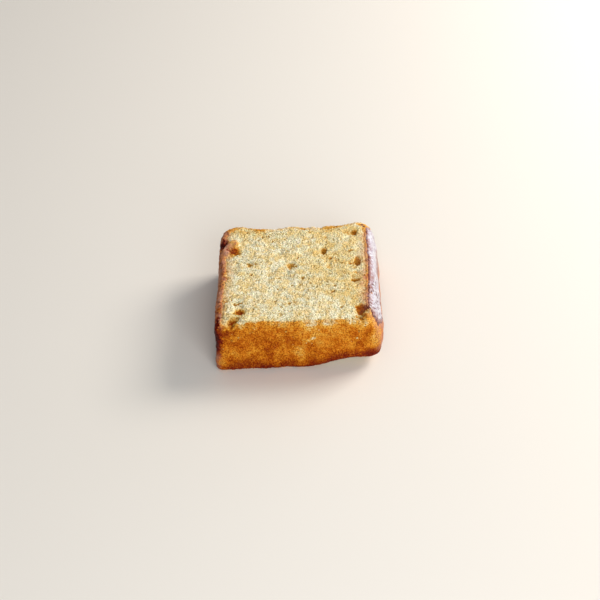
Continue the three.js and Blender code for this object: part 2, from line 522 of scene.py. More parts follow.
    # Pale and dark places of the walls, some of them dents or lumps
    patches: tuple[Mark, ...] = (
        # Broad areas of the front wall
        on_front(-29.0, 13.6, 10.0, 5.5, -0.1),
        on_front(-24.0, 18.0, 20.0, 14.0, 0.04),
        on_front(-10.0, 22.5, 15.0, 6.5, 0.03),
        on_front(-5.0, 19.5, 6.0, 4.5, 0.07),
        on_front(0.0, 16.0, 16.0, 13.0, -0.04),
        on_front(0.0, 29.0, 44.0, 3.4, -0.04),
        on_front(8.0, 20.0, 9.0, 8.0, -0.05),
        on_front(22.0, 29.5, 20.0, 7.5, -0.14),
        on_front(24.0, 19.0, 20.0, 14.0, -0.07),
        on_front(27.0, 15.0, 7.0, 4.0, 0.07),
        on_front(27.0, 26.0, 7.0, 4.0, -0.08),
        # Pale streak down its middle
        on_front(5.0, 25.0, 4.4, 8.0, -0.17),
        on_front(5.2, 28.0, 3.2, 4.0, -0.08),
        on_front(-0.2, 11.5, 3.6, 5.2, -0.3, -0.3),
        on_front(0.6, 4.4, 3.6, 4.2, -0.14),
        # Browner places beside the streak, and painted shadow under the flake
        on_front(-4.6, 17.4, 2.8, 3.8, 0.15, 0.3, 0.7),
        # Painted shadow under the curling flake, in a shallow dent
        on_front(5.4, 15.2, 3.4, 2.4, 0.08, 0.7, 0.6),
        on_front(8.8, 25.0, 2.2, 2.4, 0.08),
        # Pale nicks and lumps along its rim
        on_front(-30.5, 28.6, 7.0, 2.0, -0.25),
        on_front(-9.0, 28.0, 3.4, 2.4, -0.12),
        on_front(13.0, 27.6, 2.8, 2.6, -0.16),
        on_front(15.5, 28.2, 1.8, 1.4, -0.1, -0.5, 0.6),
        on_front(20.0, 26.4, 1.5, 2.2, -0.1, 0.8, 0.6),
        on_front(22.4, 27.6, 1.9, 1.8, -0.12, -0.6, 0.6),
        on_front(26.6, 28.2, 2.2, 1.6, -0.1, -0.7, 0.6),
        on_front(31.2, 27.4, 2.4, 1.8, -0.12, -0.7, 0.6),
        on_front(32.5, 26.6, 4.5, 2.6, -0.14),
        # Its end at the loaf's base
        on_front(-33.0, 25.6, 6.0, 3.0, 0.08),
        on_front(-33.4, 24.0, 5.0, 1.8, 0.12),
        on_front(-37.6, 4.0, 5.0, 9.0, -0.2),
        Mark((-38.8, -36.4, 20.0), (3.6, 6.0, 13.0), 0.5),
        # Its end at the loaf's top
        on_front(32.5, 21.2, 2.8, 2.8, 0.05),
        on_front(34.4, 8.5, 7.0, 4.6, 0.12),
        on_front(37.0, 21.0, 5.0, 11.0, -0.28),
        Mark((39.0, -30.0, 17.0), (6.0, 9.0, 12.0), 0.2),
        # The loaf's base
        Mark((-37.6, -28.0, 22.0), (5.0, 11.0, 16.0), 0.12),
        Mark((-39.6, -4.0, 22.0), (5.0, 34.0, 16.0), 0.0, -0.5, 0.5),
        # Foot of the loaf's top
        Mark((40.0, 0.0, 6.0), (7.0, 44.0, 14.0), 0.2),
        Mark((40.0, 0.0, 2.0), (8.0, 44.0, 11.0), 0.2),
        # Rim of the back wall, paler: a painted highlight along the back edge
        Mark((0.0, 37.5, 28.5), (48.0, 7.0, 8.0), -0.34),
    )
    # Pale flake of crust that curls off the front wall, as a row of marks along a quarter of an oval
    flake_middle: tuple[float, float] = (6.8, 14.8)
    flake_reach: tuple[float, float] = (5.2, 5.5)
    flake_steps: int = 14
    flake_mark: tuple[float, ...] = (1.4, 1.2, -0.065, -0.8, 0.7)  # what on_front takes after the place

    def __post_init__(self) -> None:
        """Gathers the marks, and seeds the noise that outlines stray by."""
        noise.seed_set(self.wander_seed)
        self.ridge = self._ridge()
        self.marks = (
            *self.holes,
            *self.torn_corner,
            *self.broken_corner,
            *self.ridge,
            *self.fold,
            *self.tints,
            *self.patches,
            *self._flake(),
        )

    def _ridge(self) -> list[Mark]:
        """Sets marks along the ridge of the fold.

        Returns:
            The marks, from one end to the other.
        """
        (start_x, start_y), (end_x, end_y) = self.ridge_ends
        shares = [step / (self.ridge_steps - 1) for step in range(self.ridge_steps)]
        spots = [(mix(start_x, end_x, share), mix(start_y, end_y, share)) for share in shares]
        return [on_cut(*spot, *self.ridge_mark) for spot in spots]

    def _flake(self) -> list[Mark]:
        """Sets marks along the flake.

        Returns:
            The marks, from the oval's end to its top.
        """
        x, z = self.flake_middle
        reach_x, reach_z = self.flake_reach
        shares = [step / (self.flake_steps - 1) for step in range(self.flake_steps)]
        turns = [mix(math.pi, math.pi / 2.0, share) for share in shares]
        spots = [(x + reach_x * math.cos(turn), z + reach_z * math.sin(turn)) for turn in turns]
        return [on_front(*spot, *self.flake_mark) for spot in spots]

    def stray(self, point: Vector) -> Vector:
        """Moves a point a little, so that what is read there has an uneven outline."""
        moves = (noise.noise_vector(point / length) * reach for reach, length in self.wander)
        return sum(moves, start=point)

    def marked(self, point: Vector) -> tuple[float, float]:
        """Adds up the marks at a point.

        Args:
            point: The place, already strayed.

        Returns:
            How much more it has browned, and how deep it lies, less than 0 on a lump.
        """
        browning = 0.0
        depth = 0.0
        rise = 0.0
        for mark in self.marks:
            share = mark.share(point)
            if share > 0.0:
                browning += mark.browning * share
                depth = max(depth, mark.depth * share**mark.edge)
                rise = max(rise, -mark.depth * share**mark.edge)
        return browning * (1.0 + self.patchy.at(point)), depth - rise

    def cut_edge(self, point: Vector) -> float:
        """How far the edge of a cut has browned.

        Args:
            point: The place on the cut.

        Returns:
            The browning that the edge adds.
        """
        inward = self.solid.inward(point)
        browning = 0.0
        for side, share in self.solid.sides(point).items():
            for baked, width in self.edge[side]:
                browning += share * baked * smooth(inward, width, self.edge_full * width)
        return browning * (1.0 + self.patchy.at(point))

    def dusted(self, point: Vector, cut: float) -> float:
        """How much bloom lies at a point, with the painted highlight on the fold's ridge.

        Args:
            point: The place.
            cut: 0 on a wall, 1 on a cut.

        Returns:
            A share of the colour.
        """
        inward = self.solid.inward(point)
        bloom = sum(share * self.bloom[side] for side, share in self.solid.sides(point).items())
        # The ridge's own bloom is a painted pinkish highlight
        own = sum(mark.bloom * mark.share(point) for mark in self.ridge)
        return bloom * mix(1.0, smooth(inward, self.bloom_reach, 0.0), cut) + own

    def wall(self, point: Vector) -> float:
        """How far the crust of a wall has browned, with painted shade at its foot.

        Args:
            point: The place on the wall.

        Returns:
            The browning before any mark is added.
        """
        browning = sum(share * self.crust[side] for side, share in self.solid.sides(point).items())
        _, rim = self.solid.rim(Cut.LOWER, angle_of(point))
        # Darker foot: partly browner crust, partly painted shade where the wall meets the floor
        browning += self.foot_browning_and_shade * smooth(point.z - rim, self.foot_height, 0.0)
        return browning - self.shoulder_paler * smooth(point.z, *self.shoulder)


@dataclass
class CakeSurface:
    """Relief and browning of cake, from the open crumb of a cut to the fine crust of a wall."""

    bake: Bake
    cut_turn: tuple[float, float] = (0.35, 0.75)  # how level a place is where wall turns to cut
    torn: Relief = Relief(0.35, 2.0, 15.0)  # unevenness of that turn
    lower_turn: tuple[float, float] = (0.6, 0.9)  # the same at the lower cut, where the rim stays browned
    crumble: tuple[Relief, ...] = (Relief(0.16, 2.6, 3.0), Relief(0.34, 0.65, 8.0))
    bubbles: tuple[Bubbles, ...] = (
        Bubbles(1.0, 0.8, (0.28, 0.5), 0.55, 0.0),
        Bubbles(2.3, 0.5, (0.45, 0.9), 1.1, 20.0),
        Bubbles(5.5, 0.4, (0.7, 1.4), 1.4, 40.0),
    )
    grain: tuple[Relief, ...] = (Relief(0.14, 0.9, 2.0), Relief(0.2, 1.9, 5.0), Relief(0.3, 4.5, 11.0))
    pits: tuple[Bubbles, ...] = (
        Bubbles(1.6, 0.4, (0.3, 0.5), 0.3, 60.0),
        Bubbles(3.4, 0.35, (0.4, 0.9), 0.5, 75.0),
    )
    deep: tuple[float, float] = (0.45, 1.2)  # depths between which a pore's floor takes its painted shade
    under_glaze: float = 0.35  # share of the relief that is left on the glazed side

    def dress(self, shape: bmesh.types.BMesh) -> None:
        """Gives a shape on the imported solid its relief, and notes how browned and how deep each point is.

        Args:
            shape: The shape, in millimetres.
        """
        browning = shape.verts.layers.float.new(Layer.BROWNING.value)
        pore = shape.verts.layers.float.new(Layer.PORE.value)
        bloom = shape.verts.layers.float.new(Layer.BLOOM.value)
        floor = self.bake.solid.low.z
        moves = []
        for vert in shape.verts:
            point = vert.co
            strayed = self.bake.stray(point)
            stain, dent = self.bake.marked(strayed)
            if vert.normal.z < 0.0:
                cut = smooth(-vert.normal.z, *self.lower_turn)
            else:
                cut = smooth(vert.normal.z + self.torn.at(point), *self.cut_turn)
            glazed = self.bake.solid.sides(point)[Side.TOP] * (1.0 - cut)
            holes = max(size.depth(strayed, vert.normal) for size in self.bubbles) if cut > 0.0 else 0.0
            pits = max(size.depth(strayed, vert.normal) for size in self.pits) if cut < 1.0 else 0.0
            depth = max(dent, mix(pits, holes, cut) + min(dent, 0.0))
            crumble = sum(relief.at(point) for relief in self.crumble)
            grain = sum(relief.at(point) for relief in self.grain)
            height = mix(grain, crumble, cut)
            baked = mix(self.bake.wall(point), self.bake.cut_edge(strayed), cut) + stain
            vert[browning] = max(baked, 0.0)
            vert[pore] = smooth(depth, *self.deep)
            vert[bloom] = self.bake.dusted(strayed, cut) * smooth(baked, *self.bake.scorched)
            move = vert.normal * (height - depth) * mix(1.0, self.under_glaze, glazed)
            move.z = max(move.z, floor - point.z)
            moves.append(move)
        shift(shape, moves)


def linear(colour: str) -> tuple[float, float, float, float]:
    """Turns an sRGB hex colour to the linear values that shaders take."""
    values = [value / FULL_BYTE for value in bytes.fromhex(colour[1:])]
    return (*Color(values).from_srgb_to_scene_linear(), 1.0)


def new_material(name: str) -> bpy.types.Material:
    """Makes a material with an empty node tree.

    Args:
        name: The real material's name.

    Returns:
        The material.
    """
    material = bpy.data.materials.new(name)
    material.use_nodes = True
    material.node_tree.nodes.clear()
    return material


def add_node(
    tree: bpy.types.NodeTree,
    kind: str,
    output: str,
    inputs: dict[str, object] | tuple[object, ...],
    **settings: object,
) -> bpy.types.NodeSocket | None:
    """Adds a node to a tree.

    Args:
        tree: The tree to add to.
        kind: The node's type name, without the prefix that all of them share.
        output: The output to read, or an empty name on a node that has none.
        inputs: Values to set and sockets to link, by name, or as a tuple in the node's own order.
        settings: Properties to set. A ramp's stops are pairs of a position and a colour.

    Returns:
        The output.
    """
    node = tree.nodes.new(f"ShaderNode{kind}")
    for name, value in settings.items():
        if name == "stops":
            first, *others = value
            ramp = node.color_ramp.elements
            ramp.remove(ramp[-1])
            ramp[0].position = first[0]
            ramp[0].color = linear(first[1])
            for place, colour in others:
                ramp.new(place).color = linear(colour)
        else:
            setattr(node, name, value)
    for name, value in inputs.items() if isinstance(inputs, dict) else enumerate(inputs):
        if isinstance(value, bpy.types.NodeSocket):
            tree.links.new(value, node.inputs[name])
        else:
            node.inputs[name].default_value = value
    return node.outputs[output] if output else None


@dataclass(frozen=True)
class Pattern:
    """Uneven pattern of a finish."""

    width: float  # of its features
    detail: float  # layers of finer features over them
    roughness: float  # how strongly the finer ones show

    def inputs(self, place: bpy.types.NodeSocket) -> dict[str, object]:
        """What a noise texture takes to draw the pattern at a place."""
        scale = 1.0 / (self.width * MM)
        return {"Vector": place, "Scale": scale, "Detail": self.detail, "Roughness": self.roughness}


@dataclass(frozen=True)
class BakedFinish:
    """Cake batter as it bakes: cut crumb is dry and matte, and browned crust has a faint oily shine."""

    name: str
    mottle: Pattern = Pattern(6.0, 4.0, 0.6)  # paler and darker areas
    mottle_spread: float = 0.14  # how much browning it adds
    grain: Pattern = Pattern(0.9, 5.0, 0.7)  # the crumb's grains
    grain_spread: float = 0.05
    cast: Pattern = Pattern(3.4, 1.0, 0.5)  # paler and warmer areas
    cast_turn: tuple[float, float] = (0.4, 0.62)  # values of that pattern between which pale turns to warm
    pale: str = WHITE
    warm: str = "#fdebca"
    # Its dark specks are painted shade in pores, its glints painted highlights on the oily crust
    speck: Pattern = Pattern(0.5, 2.0, 0.5)  # the finest pores, drawn coarse enough to show, and glints
    speck_turn: tuple[float, float] = (0.36, 0.54)  # values of that pattern between which a pore ends
    speck_shade: str = "#aba58c"
    glint_turn: tuple[float, float] = (0.54, 0.7)  # values of it between which a painted glint starts
    # Painted glint: bright specks that stand for tiny highlights
    glint: str = "#fcb850"
    glint_share: float = 0.0
    bloom: str = "#c8967e"
    bloom_turn: tuple[float, float] = (0.35, 0.65)  # values of the mottle between which it grows thicker
    bloom_spread: tuple[float, float] = (0.2, 1.4)  # its share where it lies thinnest and thickest
    pore_shade: float = 0.32  # painted shade: how much darker a pore's floor is drawn
    crust_turn: tuple[float, float] = (0.1, 0.6)  # browning between which crumb turns to crust
    roughness: tuple[float, float] = (0.92, 0.5)  # of crumb and of crust
    ior: float = 1.45
    shine: float = 0.05  # below 0.5, because open pores swallow most of the gloss
    caramel: tuple[float, float] = (0.6, 0.9)  # browning between which sugar has melted to a gloss
    coat: float = 0.05
    coat_roughness: float = 0.3
    glow: float = 0.0  # share of light that spreads under the surface
    glow_depth: float = 1.0
    glow_spread: tuple[float, float, float] = (1.0, 0.6, 0.3)  # how far red, green and blue go in it
    bump: float = 0.2  # height of the grains
    bump_strength: float = 0.9
    scale: tuple[tuple[float, str], ...] = (
        (0.00, "#fbf6d8"),
        (0.08, "#f6e9b9"),
        (0.16, "#f0d28c"),
        (0.26, "#e6b766"),
        (0.38, "#d0983e"),
        (0.50, "#b66e1e"),
        (0.62, "#9c4c10"),
        (0.74, "#862c06"),
        (0.86, "#6c1805"),
        (1.00, "#4c0d03"),
    )

    def material(self) -> bpy.types.Material:
        """Makes the material.

        Returns:
            A material that reads how browned and how deep each point is, and how much bloom lies there.
        """
        material = new_material(self.name)
        tree = material.node_tree
        place = add_node(tree, "TexCoord", "Object", ())
        browning, pore, bloom = (
            add_node(tree, "Attribute", "Fac", (), attribute_name=layer.value)
            for layer in (Layer.BROWNING, Layer.PORE, Layer.BLOOM)
        )
        mottle, grain, cast, speck = (
            add_node(tree, "TexNoise", "Fac", pattern.inputs(place))
            for pattern in (self.mottle, self.grain, self.cast, self.speck)
        )
        baked = browning
        # A pore's depth darkens the colour as painted shade; mottle and grain are the batter's own tone
        for amount, spread in (
            (pore, self.pore_shade),
            (mottle, self.mottle_spread),
            (grain, self.grain_spread),
        ):
            baked = add_node(tree, "Math", "Value", (amount, spread, baked), operation="MULTIPLY_ADD")
        middle = (self.mottle_spread + self.grain_spread) / 2.0
        centred = add_node(tree, "MapRange", "Result", (baked, middle, 1.0 + middle))
        colour = add_node(tree, "ValToRGB", "Color", (centred,), stops=self.scale)
        for pattern, turn, shades in (
            (cast, self.cast_turn, (self.pale, self.warm)),
            (speck, self.speck_turn, (self.speck_shade, WHITE)),
        ):
            shade = add_node(tree, "ValToRGB", "Color", (pattern,), stops=zip(turn, shades))
            layers = {"Factor": 1.0, "A": colour, "B": shade}
            colour = add_node(tree, "Mix", "Result", layers, data_type="RGBA", blend_type="MULTIPLY")
        # Painted glints of tiny highlights, which fade on scorched crust
        unscorched = add_node(tree, "MapRange", "Result", (browning, *self.caramel, self.glint_share, 0.0))
        glints = add_node(tree, "MapRange", "Result", (speck, *self.glint_turn, 0.0, unscorched))
        drifts = add_node(tree, "MapRange", "Result", (mottle, *self.bloom_turn, *self.bloom_spread))
        drifted = add_node(tree, "Math", "Value", (bloom, drifts), operation="MULTIPLY")
        for share, shade in ((glints, self.glint), (drifted, self.bloom)):
            layers = {"Factor": share, "A": colour, "B": linear(shade)}
            colour = add_node(tree, "Mix", "Result", layers, data_type="RGBA")
        roughness = add_node(tree, "MapRange", "Result", (browning, *self.crust_turn, *self.roughness))
        caramel = add_node(tree, "MapRange", "Result", (browning, *self.caramel, 0.0, self.coat))
        relief = {"Height": grain, "Strength": self.bump_strength, "Distance": self.bump * MM}
        finish = {
            "Base Color": colour,
            "Roughness": roughness,
            "IOR": self.ior,
            "Specular IOR Level": self.shine,
            "Coat Weight": caramel,
            "Coat Roughness": self.coat_roughness,
            "Subsurface Weight": self.glow,
            "Subsurface Radius": self.glow_spread,
            "Subsurface Scale": self.glow_depth * MM,
            "Normal": add_node(tree, "Bump", "Normal", relief),
        }
        shader = add_node(tree, "BsdfPrincipled", "BSDF", finish)
        add_node(tree, "OutputMaterial", "", {"Surface": shader})
        return material


@dataclass(frozen=True)
class GlazeFinish:
    """Icing sugar glaze, set to a thin milky film that shines like enamel."""

    name: str = "set_sugar_glaze"
    # Painted lilac shade and reflection of the sky in the film
    lilac_reflection: str = "#a296ac"
    milky: str = "#d6d8e0"
    thin: str = "#84412f"
    pinhole: str = "#3c1a20"
    cloud: Pattern = Pattern(1.6, 5.0, 0.65)  # milkier areas and areas of painted lilac reflection
    milk_turn: tuple[float, float] = (0.38, 0.62)  # cloud values between which it turns to painted lilac
    cloud_spread: float = 0.9  # how much the pattern adds to how thin the film is
    thin_turn: tuple[float, float] = (0.55, 1.25)  # thinness between which the crust shows through
    hole_turn: tuple[float, float] = (0.75, 1.0)  # thinness between which a pinhole shows
    ripple: float = 0.12  # height of its sugary unevenness
    roughness: float = 0.34
    ior: float = 1.5
    coat: float = 0.3
    coat_roughness: float = 0.15

    def material(self) -> bpy.types.Material:
        """Makes the material.

        Returns:
            A material that reads where the film thins out.
        """
        material = new_material(self.name)
        tree = material.node_tree
        place = add_node(tree, "TexCoord", "Object", ())
        thin = add_node(tree, "Attribute", "Fac", (), attribute_name=Layer.THIN.value)
        cloud = add_node(tree, "TexNoise", "Fac", self.cloud.inputs(place))
        clouded = add_node(tree, "Math", "Value", (cloud, self.cloud_spread, thin), operation="MULTIPLY_ADD")
        limits = (clouded, *self.thin_turn)
        worn = add_node(tree, "MapRange", "Result", limits, interpolation_type="SMOOTHSTEP")
        holes = add_node(tree, "MapRange", "Result", (thin, *self.hole_turn))
        milk = zip(self.milk_turn, (self.milky, self.lilac_reflection))
        colour = add_node(tree, "ValToRGB", "Color", (cloud,), stops=milk)
        for share, shade in ((worn, self.thin), (holes, self.pinhole)):
            layers = {"Factor": share, "A": colour, "B": linear(shade)}
            colour = add_node(tree, "Mix", "Result", layers, data_type="RGBA")
        relief = {"Height": cloud, "Strength": 1.0, "Distance": self.ripple * MM}
        finish = {
            "Base Color": colour,
            "Roughness": self.roughness,
            "IOR": self.ior,
            "Coat Weight": self.coat,
            "Coat Roughness": self.coat_roughness,
            "Normal": add_node(tree, "Bump", "Normal", relief),
        }
        shader = add_node(tree, "BsdfPrincipled", "BSDF", finish)
        add_node(tree, "OutputMaterial", "", {"Surface": shader})
        return material


def add_piece(shape: bmesh.types.BMesh, name: str, material: bpy.types.Material) -> bpy.types.Object:
    """Makes a piece of the slice from a shape in millimetres.

    Args:
        shape: The finished shape, which is freed.
        name: The piece's name.
        material: Its finish.

    Returns:
        The piece, riding on the slice's one body.
    """
    bmesh.ops.scale(shape, vec=Vector((MM, MM, MM)), verts=shape.verts)
    mesh = bpy.data.meshes.new(name)
    shape.to_mesh(mesh)
    shape.free()
    mesh.shade_smooth()
    mesh.materials.append(material)
    piece = bpy.data.objects.new(name, mesh)
    bpy.context.scene.collection.objects.link(piece)
    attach(piece, "root")
    mesh.calc_loop_triangles()
    log.info("%s: %d triangles", name, len(mesh.loop_triangles))
    return piece


def soften(shape: bmesh.types.BMesh, verts: list[bmesh.types.BMVert], rounds: int) -> None:
    """Evens out facets.

    Args:
        shape: The shape to change.
        verts: The points that may move.
        rounds: How often each point moves halfway to its neighbours.
    """
    for _ in range(rounds):
        bmesh.ops.smooth_vert(
            shape, verts=verts, factor=HALF, use_axis_x=True, use_axis_y=True, use_axis_z=True
        )
    shape.normal_update()


def shift(shape: bmesh.types.BMesh, moves: list[Vector]) -> None:
    """Moves every point of a shape.

    Args:
        shape: The shape to change.
        moves: One move for each point, in order.
    """
    for vert, move in zip(shape.verts, moves):
        vert.co += move
    shape.normal_update()


def add_back(
    shape: bmesh.types.BMesh, depth: float
) -> tuple[list[bmesh.types.BMFace], list[bmesh.types.BMVert]]:
    """Closes an open sheet with a back.

    Args:
        shape: The sheet, with its faces outward.
        depth: How far the back lies behind the front.

    Returns:
        The faces of the front and the points of the back.
    """
    front = list(shape.faces)
    made = bmesh.ops.extrude_face_region(shape, geom=front, use_keep_orig=True)["geom"]
    back = [item for item in made if isinstance(item, bmesh.types.BMVert)]
    for vert, normal in [(vert, vert.normal.copy()) for vert in back]:
        vert.co -= normal * depth
    return front, back


def split(shape: bmesh.types.BMesh, faces: list[bmesh.types.BMFace], cuts: int) -> None:
    """Splits some faces of a closed shape into finer ones.

    Args:
        shape: The shape to change.
        faces: The faces to split.
        cuts: Cuts through each of their edges.
    """
    edges = list(dict.fromkeys(edge for face in faces for edge in face.edges))
    bmesh.ops.subdivide_edges(shape, edges=edges, cuts=cuts, use_grid_fill=True, use_single_edge=True)
    bmesh.ops.recalc_face_normals(shape, faces=shape.faces)


@dataclass
class Crumb:
    """The open crumb, with both knife cuts. Its walls lie hidden in the crust."""

    solid: PackedSolid
    surface: CakeSurface
    finish: BakedFinish = BakedFinish("orange_cake_crumb", glow=0.1)
    cells: int = 92  # along each side of a cut
    upper_splits: int = 2  # cuts through each cell of the upper cut
    wall_rows: int = 20
    inset: float = 1.0  # how far its walls lie inside the crust's face
    edge_drop: float = 0.5  # how far its rims lie below the crust's
    edge_width: float = 1.3  # width over which they rise to the cut
    coarse_rounds: int = 3  # rounds of softening before and after the upper cut is split
    fine_rounds: int = 4

    def build(self) -> bpy.types.Object:
        """Builds and dresses the crumb.

        Returns:
            The crumb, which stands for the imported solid.
        """
        shape = self._block()
        self.surface.dress(shape)
        self.skin = BVHTree.FromBMesh(shape)
        piece = add_piece(shape, "crumb", self.finish.material())
        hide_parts(self.solid.node)
        return piece

    def _block(self) -> bmesh.types.BMesh:
        """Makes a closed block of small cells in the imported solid's form, finer on the upper cut.

        Returns:
            The block.
        """
        shape = bmesh.new()
        bmesh.ops.create_cube(shape, size=Cut.UPPER.value - Cut.LOWER.value)
        upright = [edge for edge in shape.edges if edge.verts[0].co.z != edge.verts[1].co.z]
        bmesh.ops.subdivide_edges(shape, edges=upright, cuts=self.wall_rows)
        level = [edge for edge in shape.edges if edge.verts[0].co.z == edge.verts[1].co.z]
        bmesh.ops.subdivide_edges(shape, edges=level, cuts=self.cells - 1, use_grid_fill=True)
        upper = [face for face in shape.faces if all(v.co.z == Cut.UPPER.value for v in face.verts)]
        inside = shape.verts.layers.float.new("inside")
        for vert in shape.verts:
            vert[inside] = float(max(map(abs, vert.co.xy)) < 1.0)
            vert.co = self._place(*vert.co)
        soften(shape, [vert for vert in shape.verts if vert[inside] > 0.0], self.coarse_rounds)
        edges = list(dict.fromkeys(edge for face in upper for edge in face.edges))
        bmesh.ops.subdivide_edges(shape, edges=edges, cuts=self.upper_splits, use_grid_fill=True)
        soften(shape, [vert for vert in shape.verts if vert[inside] > 0.0], self.fine_rounds)
        shape.verts.layers.float.remove(inside)
        return shape

    def _place(self, u: float, v: float, w: float) -> Vector:
        """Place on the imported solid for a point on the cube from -1 to 1.

        Args:
            u: Across the loaf's height.
            v: Across the loaf's width.
            w: Through the slice's thickness.

        Returns:
            The place, a little inside the wall.
        """
        angle = math.atan2(v * self.solid.high.y, u * self.solid.high.x)
        if abs(w) == 1.0:
            return self._cut_place(Cut(w), angle, max(abs(u), abs(v)))
        lower, upper = (self._cut_place(cut, angle, 1.0) for cut in (Cut.LOWER, Cut.UPPER))
        height = mix(lower.z, upper.z, (w + 1.0) / 2.0)
        return heading(angle) * (self.solid.wall_reach(angle, height) - self.inset) + UP * height

    def _cut_place(self, cut: Cut, angle: float, share: float) -> Vector:
        """Place on a cut.

        Args:
            cut: Which of the two cuts.
            angle: Direction from the middle.
            share: Share of the way from the middle to the crumb's own rim.

        Returns:
            The place, dropped below the cut near the rim.
        """
        reach = self.solid.rim(cut, angle)[0] - self.inset
        place = heading(angle) * reach * share
        drop = self.edge_drop * smooth(reach - place.length, self.edge_width, 0.0)
        place.z = self.solid.cut_height(cut, place) - drop * cut.value
        return place


@dataclass
class Crust:
    """The crust that browned against the tin: a shell round the slice that laps over both cuts."""

    solid: PackedSolid
    surface: CakeSurface
    finish: BakedFinish = BakedFinish(
        "browned_cake_crust",
        mottle=Pattern(5.0, 4.0, 0.6),
        mottle_spread=0.7,
        grain_spread=0.55,
        warm="#f8e6cc",
        speck_shade="#b0824e",
        # Painted glints on the oily crust
        glint_share=0.2,
        # Painted shade in the crust's pits
        pore_shade=0.4,
        bump=0.3,
        scale=(
            (0.00, "#fbf2cd"),
            (0.06, "#f6dc98"),
            (0.14, "#f0bc58"),
            (0.26, "#e8a940"),
            (0.38, "#df9226"),
            (0.50, "#c56f0c"),
            (0.62, "#a24c06"),
            (0.74, "#8a2a05"),
            (0.86, "#701604"),
            (1.00, "#4c0d03"),
        ),
    )
    columns: int = 216
    rows: int = 24
    splits: int = 3
    lap: float = 2.6  # how far it laps over a rim onto the cut
    lap_share: float = 0.08  # the same, as a share of the wall's height
    lap_drop: float = 0.6  # how far the lap runs down into the crumb
    lap_level: float = 0.5  # share of the lap that lies on the cut
    depth: float = 1.2  # how far its back lies inside its face
    weld: float = 0.01  # points that lie nearer than this become one
    rounds: int = 5

    def build(self) -> bpy.types.Object:
        """Builds and dresses the crust.

        Returns:
            The crust.
        """
        shape = self._shell()
        self.surface.dress(shape)
        self.skin = BVHTree.FromBMesh(shape)
        return add_piece(shape, "crust", self.finish.material())

    def _shell(self) -> bmesh.types.BMesh:
        """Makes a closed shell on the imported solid's wall, finer outside than inside.

        Returns:
            The shell.
        """
        shape = bmesh.new()
        bmesh.ops.create_grid(shape, x_segments=self.columns, y_segments=self.rows, size=1.0)
        for vert in shape.verts:
            angle = self.solid.angle_at((vert.co.x + 1.0) / 2.0)
            vert.co = self._place(angle, vert.co.y * (HALF + self.lap_share) + HALF)
        bmesh.ops.remove_doubles(shape, verts=shape.verts, dist=self.weld)
        bmesh.ops.recalc_face_normals(shape, faces=shape.faces)
        front, _ = add_back(shape, self.depth)
        split(shape, front, self.splits)
        soften(shape, list(shape.verts), self.rounds)
        return shape

    def _place(self, angle: float, share: float) -> Vector:
        """Place on the wall, or past a rim on the cut.

        Args:
            angle: Direction from the middle.
            share: 0 at the lower rim, 1 at the upper rim, and past them on the cuts.

        Returns:
            The place.
        """
        past = max(share - 1.0, -share) / self.lap_share
        if past <= 0.0:
            return self.solid.wall_point(angle, share)
        cut = Cut.UPPER if share > HALF else Cut.LOWER
        place = heading(angle) * (self.solid.rim(cut, angle)[0] - past * self.lap)
        drop = self.lap_drop * smooth(past, self.lap_level, 1.0)
        place.z = self.solid.cut_height(cut, place) - drop * cut.value
        return place


